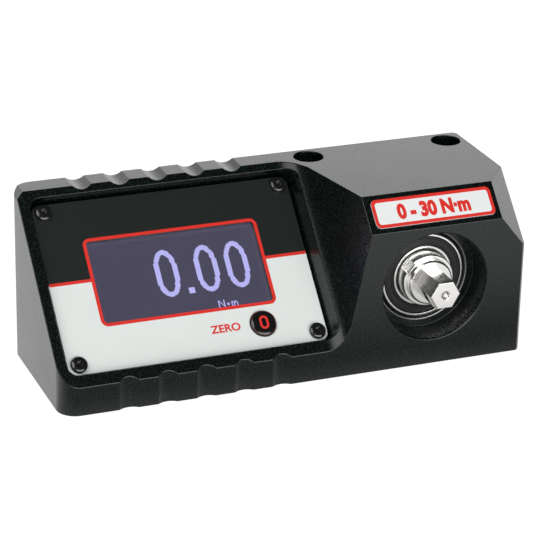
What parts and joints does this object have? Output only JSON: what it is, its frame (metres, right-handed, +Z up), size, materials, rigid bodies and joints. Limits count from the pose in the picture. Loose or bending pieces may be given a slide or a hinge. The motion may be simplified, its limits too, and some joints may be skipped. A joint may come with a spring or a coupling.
{
  "type": "digital torque tester",
  "caption": "Bench torque tester: wedge housing with a sloping digital display and zero button, and a block with a bearing-guided hexagon drive.",
  "frame": {"origin": "middle of the housing's underside, on the plane it stands on", "axes": "+X to the right along the housing, +Y from the front face to the back, +Z up"},
  "size_m": [0.173, 0.0699, 0.063],
  "materials": {
    "powder_coat": "fine textured black powder coat",
    "base_sheet": "satin black paint on sheet steel",
    "panel_print": "satin black print with a light lower field",
    "clear_window": "clear, polished",
    "lcd": "dark violet grey display glass",
    "white_plastic": "moulded, satin",
    "board_laminate": "green solder mask",
    "gloss_button": "gloss black",
    "black_plastic": "moulded, satin",
    "label_print": "white film with red print",
    "bearing_steel": "ground bearing steel",
    "seal_rubber": "moulded seal",
    "cage_brass": "machined",
    "nickel_plate": "bright nickel over turned steel",
    "gauge_foil": "etched foil on a polyimide film",
    "zinc_steel": "zinc plated",
    "black_steel": "black oxide",
    "lead_cover": "soft black insulation"
  },
  "bodies": {
    "housing": {"anchor_flange": "zinc_steel", "anchor_screw_1": "black_steel", "anchor_screw_2": "black_steel", "anchor_screw_3": "black_steel", "anchor_screw_4": "black_steel", "base_plate": "base_sheet", "base_screw_1": "zinc_steel", "base_screw_2": "zinc_steel", "base_screw_3": "zinc_steel", "base_screw_4": "zinc_steel", "base_screw_5": "zinc_steel", "base_screw_6": "zinc_steel", "bearing_front_seal": "seal_rubber", "bearing_outer_race": "bearing_steel", "bearing_rear_seal": "seal_rubber", "board_screw_1": "zinc_steel", "board_screw_2": "zinc_steel", "board_screw_3": "zinc_steel", "board_screw_4": "zinc_steel", "board_standoff_1": "zinc_steel", "board_standoff_2": "zinc_steel", "board_standoff_3": "zinc_steel", "board_standoff_4": "zinc_steel", "display_panel": "panel_print", "display_window": "clear_window", "gauge_connector": "white_plastic", "gauge_lead": "lead_cover", "housing": "powder_coat", "inlet_nut": "nickel_plate", "inlet_pin": "nickel_plate", "lcd_backlight": "white_plastic", "lcd_glass": "lcd", "main_board": "board_laminate", "panel_screw_1": "black_steel", "panel_screw_2": "black_steel", "panel_screw_3": "black_steel", "panel_screw_4": "black_steel", "range_label": "label_print", "supply_connector": "white_plastic", "supply_inlet": "black_plastic", "supply_lead": "lead_cover", "zero_switch": "black_plastic"},
    "drive": {"drive_shaft": "nickel_plate", "bearing_inner_race": "bearing_steel", "strain_gauge_1": "gauge_foil", "strain_gauge_2": "gauge_foil"},
    "cage": {"bearing_cage": "cage_brass", "bearing_ball_1": "bearing_steel", "bearing_ball_2": "bearing_steel", "bearing_ball_3": "bearing_steel", "bearing_ball_4": "bearing_steel", "bearing_ball_5": "bearing_steel", "bearing_ball_6": "bearing_steel", "bearing_ball_7": "bearing_steel", "bearing_ball_8": "bearing_steel", "bearing_ball_9": "bearing_steel"},
    "button": {"zero_button": "gloss_button"},
    "plunger": {"switch_plunger": "white_plastic"}
  },
  "joints": [
    {"name": "drive_twist", "type": "hinge", "parent": "housing", "child": "drive", "pos_m": [0.0515, -0.03075, 0.0298], "axis": [0, 1, 0], "range_deg": [-0.5, 0.5], "stiffness_Nm_per_rad": 5},
    {"name": "cage_roll", "type": "hinge", "parent": "housing", "child": "cage", "pos_m": [0.0515, -0.03075, 0.0298], "axis": [0, 1, 0], "range_deg": [-0.25, 0.25]},
    {"name": "zero_press", "type": "slide", "parent": "housing", "child": "button", "axis": [0, 0.7071, -0.7071], "range_m": [0, 0.0006], "stiffness_N_per_m": 1200, "springref_m": -0.0004},
    {"name": "plunger_press", "type": "slide", "parent": "housing", "child": "plunger", "axis": [0, 0.7071, -0.7071], "range_m": [0, 0.0006]}
  ],
  "couplings": [
    {"joint": "cage_roll", "follows": "drive_twist", "ratio": 0.433},
    {"joint": "plunger_press", "follows": "zero_press", "ratio": 1}
  ]
}
